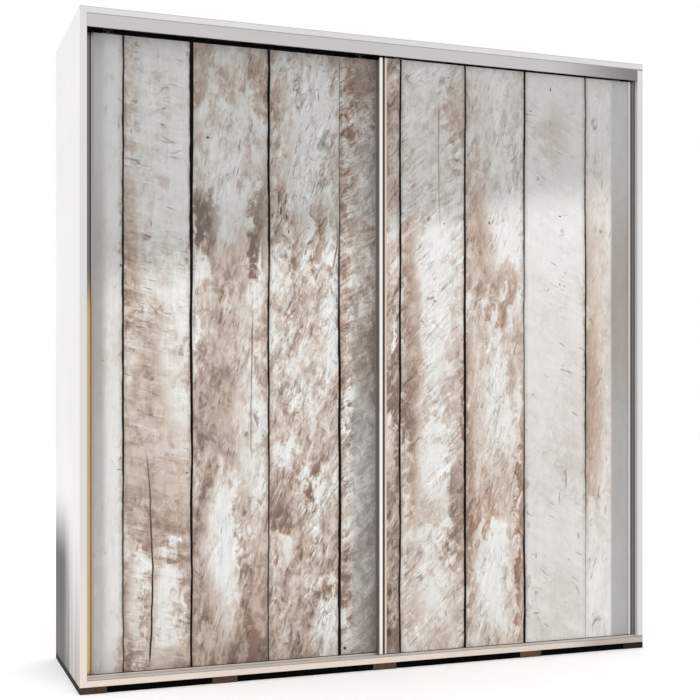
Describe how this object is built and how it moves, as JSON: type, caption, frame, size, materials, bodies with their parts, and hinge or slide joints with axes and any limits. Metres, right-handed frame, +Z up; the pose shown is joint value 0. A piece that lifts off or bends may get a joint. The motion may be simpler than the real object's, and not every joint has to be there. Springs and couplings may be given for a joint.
{
  "type": "sliding door wardrobe",
  "caption": "Free-standing wardrobe with a boarded carcass, sliding doors faced with printed planks in slim aluminium stiles, and shelves and a hanging rail inside.",
  "frame": {"origin": "middle of the footprint, on the floor", "axes": "+Z up, +Y towards the back, +X to the right seen from the front"},
  "size_m": [2.05, 0.58, 2.15],
  "materials": {
    "white_laminate": "satin melamine",
    "white_hardboard": "lacquered",
    "white_plastic": "matt",
    "anodised_aluminium": "anodised satin",
    "dark_rubber": "matt",
    "satin_steel": "satin",
    "stained_bearer": "dark stained",
    "black_strip": "matt",
    "beech": "plain",
    "printed_planks": "printed weathered planks under a satin film",
    "pile_seal": "short pile",
    "zinc_steel": "zinc plated",
    "white_nylon": "smooth"
  },
  "bodies": {
    "cabinet": {"top_panel": "white_laminate", "bottom_panel": "white_laminate", "left_side_panel": "white_laminate", "right_side_panel": "white_laminate", "partition": "white_laminate", "left_back_board": "white_hardboard", "right_back_board": "white_hardboard", "back_joint_strip": "white_plastic", "track_fascia": "anodised_aluminium", "top_track": "anodised_aluminium", "bottom_track": "anodised_aluminium", "track_stops": "dark_rubber", "hat_shelf": "white_laminate", "shelf_1": "white_laminate", "shelf_2": "white_laminate", "shelf_3": "white_laminate", "shelf_4": "white_laminate", "hanging_rail": "satin_steel", "rail_sockets": "satin_steel", "shelf_pins": "zinc_steel", "confirmat_screws": "zinc_steel", "screw_caps": "white_plastic", "wood_dowels": "beech", "fitting_screws": "zinc_steel", "bearer_1": "stained_bearer", "bearer_2": "stained_bearer", "bearer_3": "stained_bearer", "bearer_4": "stained_bearer", "bearer_5": "stained_bearer", "plinth_strips": "black_strip"},
    "left_door": {"left_door_board": "white_laminate", "left_door_facing": "printed_planks", "left_door_outer_stile": "anodised_aluminium", "left_door_inner_stile": "anodised_aluminium", "left_door_brushes": "pile_seal", "left_door_roller_bracket_a": "zinc_steel", "left_door_roller_bracket_b": "zinc_steel", "left_door_guide_bracket_a": "zinc_steel", "left_door_guide_bracket_b": "zinc_steel", "left_door_axles": "zinc_steel", "left_door_screws": "zinc_steel"},
    "left_floor_roller_a": {"left_door_roller_a": "white_nylon"},
    "left_top_wheel_a": {"left_door_guide_wheel_a": "white_nylon"},
    "left_floor_roller_b": {"left_door_roller_b": "white_nylon"},
    "left_top_wheel_b": {"left_door_guide_wheel_b": "white_nylon"},
    "right_door": {"right_door_board": "white_laminate", "right_door_facing": "printed_planks", "right_door_outer_stile": "anodised_aluminium", "right_door_inner_stile": "anodised_aluminium", "right_door_brushes": "pile_seal", "right_door_roller_bracket_a": "zinc_steel", "right_door_roller_bracket_b": "zinc_steel", "right_door_guide_bracket_a": "zinc_steel", "right_door_guide_bracket_b": "zinc_steel", "right_door_axles": "zinc_steel", "right_door_screws": "zinc_steel"},
    "right_floor_roller_a": {"right_door_roller_a": "white_nylon"},
    "right_top_wheel_a": {"right_door_guide_wheel_a": "white_nylon"},
    "right_floor_roller_b": {"right_door_roller_b": "white_nylon"},
    "right_top_wheel_b": {"right_door_guide_wheel_b": "white_nylon"}
  },
  "joints": [
    {"name": "left_door_slide", "type": "slide", "parent": "cabinet", "child": "left_door", "axis": [1, 0, 0], "range_m": [0, 0.987]},
    {"name": "right_door_slide", "type": "slide", "parent": "cabinet", "child": "right_door", "axis": [1, 0, 0], "range_m": [-0.987, 0]},
    {"name": "left_floor_roller_a_spin", "type": "hinge", "parent": "left_door", "child": "left_floor_roller_a", "pos_m": [-0.925, -0.209, 0.0597], "axis": [0, 1, 0], "continuous": true},
    {"name": "left_top_wheel_a_spin", "type": "hinge", "parent": "left_door", "child": "left_top_wheel_a", "pos_m": [-0.925, -0.216, 2.105], "axis": [0, 0, 1], "continuous": true},
    {"name": "left_floor_roller_b_spin", "type": "hinge", "parent": "left_door", "child": "left_floor_roller_b", "pos_m": [-0.062, -0.209, 0.0597], "axis": [0, 1, 0], "continuous": true},
    {"name": "left_top_wheel_b_spin", "type": "hinge", "parent": "left_door", "child": "left_top_wheel_b", "pos_m": [-0.062, -0.216, 2.105], "axis": [0, 0, 1], "continuous": true},
    {"name": "right_floor_roller_a_spin", "type": "hinge", "parent": "right_door", "child": "right_floor_roller_a", "pos_m": [0.062, -0.247, 0.0597], "axis": [0, 1, 0], "continuous": true},
    {"name": "right_top_wheel_a_spin", "type": "hinge", "parent": "right_door", "child": "right_top_wheel_a", "pos_m": [0.062, -0.254, 2.105], "axis": [0, 0, 1], "continuous": true},
    {"name": "right_floor_roller_b_spin", "type": "hinge", "parent": "right_door", "child": "right_floor_roller_b", "pos_m": [0.925, -0.247, 0.0597], "axis": [0, 1, 0], "continuous": true},
    {"name": "right_top_wheel_b_spin", "type": "hinge", "parent": "right_door", "child": "right_top_wheel_b", "pos_m": [0.925, -0.254, 2.105], "axis": [0, 0, 1], "continuous": true}
  ],
  "couplings": [
    {"joint": "left_floor_roller_a_spin", "follows": "left_door_slide", "rad_per_m": 100},
    {"joint": "left_top_wheel_a_spin", "follows": "left_door_slide", "rad_per_m": -58.824},
    {"joint": "left_floor_roller_b_spin", "follows": "left_door_slide", "rad_per_m": 100},
    {"joint": "left_top_wheel_b_spin", "follows": "left_door_slide", "rad_per_m": -58.824},
    {"joint": "right_floor_roller_a_spin", "follows": "right_door_slide", "rad_per_m": 100},
    {"joint": "right_top_wheel_a_spin", "follows": "right_door_slide", "rad_per_m": -58.824},
    {"joint": "right_floor_roller_b_spin", "follows": "right_door_slide", "rad_per_m": 100},
    {"joint": "right_top_wheel_b_spin", "follows": "right_door_slide", "rad_per_m": -58.824}
  ]
}
